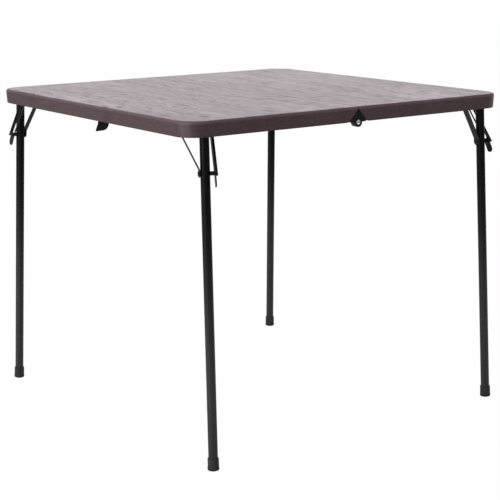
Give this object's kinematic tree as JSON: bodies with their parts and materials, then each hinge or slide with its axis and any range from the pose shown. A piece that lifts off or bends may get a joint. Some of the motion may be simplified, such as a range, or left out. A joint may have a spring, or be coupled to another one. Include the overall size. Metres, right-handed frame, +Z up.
{
  "type": "folding card table",
  "caption": "Square bi-fold card table: a moulded wood-look top hinged along its middle, on splayed tubular legs that fold into its underside.",
  "frame": {"origin": "on the floor under the centre of the open table", "axes": "+Z up, +Y from the front edge to the back edge along the seam, +X to the right along the front edge"},
  "size_m": [0.8726, 0.8624, 0.737],
  "materials": {
    "moulded_top": "satin, wood-look",
    "black_steel": "satin black powder coat",
    "foot_plastic": "matt",
    "latch_plastic": "satin",
    "zinc_fasteners": "zinc plated"
  },
  "bodies": {
    "left_half": {"left_tabletop_half": "moulded_top", "left_half_screws": "zinc_fasteners", "front_hinge_left_leaf": "black_steel", "back_hinge_left_leaf": "black_steel", "left_latch_bracket": "black_steel", "left_latch_pin": "black_steel", "left_latch_keeper": "black_steel", "front_hinge_pin": "zinc_fasteners", "back_hinge_pin": "zinc_fasteners", "front_left_leg_bracket": "black_steel", "front_left_leg_axle": "black_steel", "front_left_brace_rivet": "black_steel", "back_left_leg_bracket": "black_steel", "back_left_leg_axle": "black_steel", "back_left_brace_rivet": "black_steel"},
    "right_half": {"right_tabletop_half": "moulded_top", "right_half_screws": "zinc_fasteners", "front_hinge_right_leaf": "black_steel", "back_hinge_right_leaf": "black_steel", "right_latch_bracket": "black_steel", "right_latch_pin": "black_steel", "right_latch_keeper": "black_steel", "front_right_leg_bracket": "black_steel", "front_right_leg_axle": "black_steel", "front_right_brace_rivet": "black_steel", "back_right_leg_bracket": "black_steel", "back_right_leg_axle": "black_steel", "back_right_brace_rivet": "black_steel"},
    "front_left_leg": {"front_left_leg_tube": "black_steel", "front_left_foot_cap": "foot_plastic", "front_left_lateral_strut": "black_steel", "front_left_cross_pin": "black_steel"},
    "front_left_brace": {"front_left_slotted_brace": "black_steel"},
    "front_left_rider": {"front_left_slot_rider": "black_steel"},
    "front_right_leg": {"front_right_leg_tube": "black_steel", "front_right_foot_cap": "foot_plastic", "front_right_lateral_strut": "black_steel", "front_right_cross_pin": "black_steel"},
    "front_right_brace": {"front_right_slotted_brace": "black_steel"},
    "front_right_rider": {"front_right_slot_rider": "black_steel"},
    "back_left_leg": {"back_left_leg_tube": "black_steel", "back_left_foot_cap": "foot_plastic", "back_left_lateral_strut": "black_steel", "back_left_cross_pin": "black_steel"},
    "back_left_brace": {"back_left_slotted_brace": "black_steel"},
    "back_left_rider": {"back_left_slot_rider": "black_steel"},
    "back_right_leg": {"back_right_leg_tube": "black_steel", "back_right_foot_cap": "foot_plastic", "back_right_lateral_strut": "black_steel", "back_right_cross_pin": "black_steel"},
    "back_right_brace": {"back_right_slotted_brace": "black_steel"},
    "back_right_rider": {"back_right_slot_rider": "black_steel"},
    "left_latch": {"left_latch_hook": "latch_plastic"},
    "right_latch": {"right_latch_hook": "latch_plastic"}
  },
  "joints": [
    {"name": "half_fold", "type": "hinge", "parent": "left_half", "child": "right_half", "pos_m": [0, 0, 0.7035], "axis": [0, 1, 0], "range_deg": [0, 50]},
    {"name": "front_left_leg_fold", "type": "hinge", "parent": "left_half", "child": "front_left_leg", "pos_m": [-0.36, -0.38, 0.717], "axis": [0.9026, -0.4305, 0.0049], "range_deg": [0, 92.84]},
    {"name": "front_left_brace_swing", "type": "hinge", "parent": "left_half", "child": "front_left_brace", "pos_m": [-0.33209, -0.32148, 0.717], "axis": [0.9026, -0.4305, 0.0049], "range_deg": [0, 126.79]},
    {"name": "front_left_rider_slide", "type": "slide", "parent": "front_left_brace", "child": "front_left_rider", "axis": [0.2541, 0.542, 0.801], "range_m": [0, 0.08783]},
    {"name": "front_right_leg_fold", "type": "hinge", "parent": "right_half", "child": "front_right_leg", "pos_m": [0.3912, -0.393, 0.717], "axis": [0.999, 0, 0.0456], "range_deg": [0, 91.14]},
    {"name": "front_right_brace_swing", "type": "hinge", "parent": "right_half", "child": "front_right_brace", "pos_m": [0.3912, -0.32554, 0.717], "axis": [0.999, 0, 0.0456], "range_deg": [0, 126.71]},
    {"name": "front_right_rider_slide", "type": "slide", "parent": "front_right_brace", "child": "front_right_rider", "axis": [-0.0365, 0.5975, 0.801], "range_m": [0, 0.09045]},
    {"name": "back_left_leg_fold", "type": "hinge", "parent": "left_half", "child": "back_left_leg", "pos_m": [-0.3912, 0.393, 0.717], "axis": [-0.999, 0, 0.0456], "range_deg": [0, 91.14]},
    {"name": "back_left_brace_swing", "type": "hinge", "parent": "left_half", "child": "back_left_brace", "pos_m": [-0.3912, 0.32554, 0.717], "axis": [-0.999, 0, 0.0456], "range_deg": [0, 126.71]},
    {"name": "back_left_rider_slide", "type": "slide", "parent": "back_left_brace", "child": "back_left_rider", "axis": [0.0365, -0.5975, 0.801], "range_m": [0, 0.09045]},
    {"name": "back_right_leg_fold", "type": "hinge", "parent": "right_half", "child": "back_right_leg", "pos_m": [0.36, 0.38, 0.717], "axis": [-0.9026, 0.4305, 0.0049], "range_deg": [0, 92.84]},
    {"name": "back_right_brace_swing", "type": "hinge", "parent": "right_half", "child": "back_right_brace", "pos_m": [0.33209, 0.32148, 0.717], "axis": [-0.9026, 0.4305, 0.0049], "range_deg": [0, 126.79]},
    {"name": "back_right_rider_slide", "type": "slide", "parent": "back_right_brace", "child": "back_right_rider", "axis": [-0.2541, -0.542, 0.801], "range_m": [0, 0.08783]},
    {"name": "left_latch_swing", "type": "hinge", "parent": "left_half", "child": "left_latch", "pos_m": [-0.4125, -0.061, 0.716], "axis": [1, 0, 0], "range_deg": [-40, 15]},
    {"name": "right_latch_swing", "type": "hinge", "parent": "right_half", "child": "right_latch", "pos_m": [0.4125, 0.061, 0.716], "axis": [-1, 0, 0], "range_deg": [-40, 15]}
  ],
  "couplings": [
    {"joint": "front_left_brace_swing", "follows": "front_left_leg_fold", "ratio": 1.3656},
    {"joint": "front_left_rider_slide", "follows": "front_left_leg_fold", "m_per_rad": 0.054192},
    {"joint": "front_right_brace_swing", "follows": "front_right_leg_fold", "ratio": 1.3901},
    {"joint": "front_right_rider_slide", "follows": "front_right_leg_fold", "m_per_rad": 0.056849},
    {"joint": "back_left_brace_swing", "follows": "back_left_leg_fold", "ratio": 1.3901},
    {"joint": "back_left_rider_slide", "follows": "back_left_leg_fold", "m_per_rad": 0.056849},
    {"joint": "back_right_brace_swing", "follows": "back_right_leg_fold", "ratio": 1.3656},
    {"joint": "back_right_rider_slide", "follows": "back_right_leg_fold", "m_per_rad": 0.054192}
  ]
}
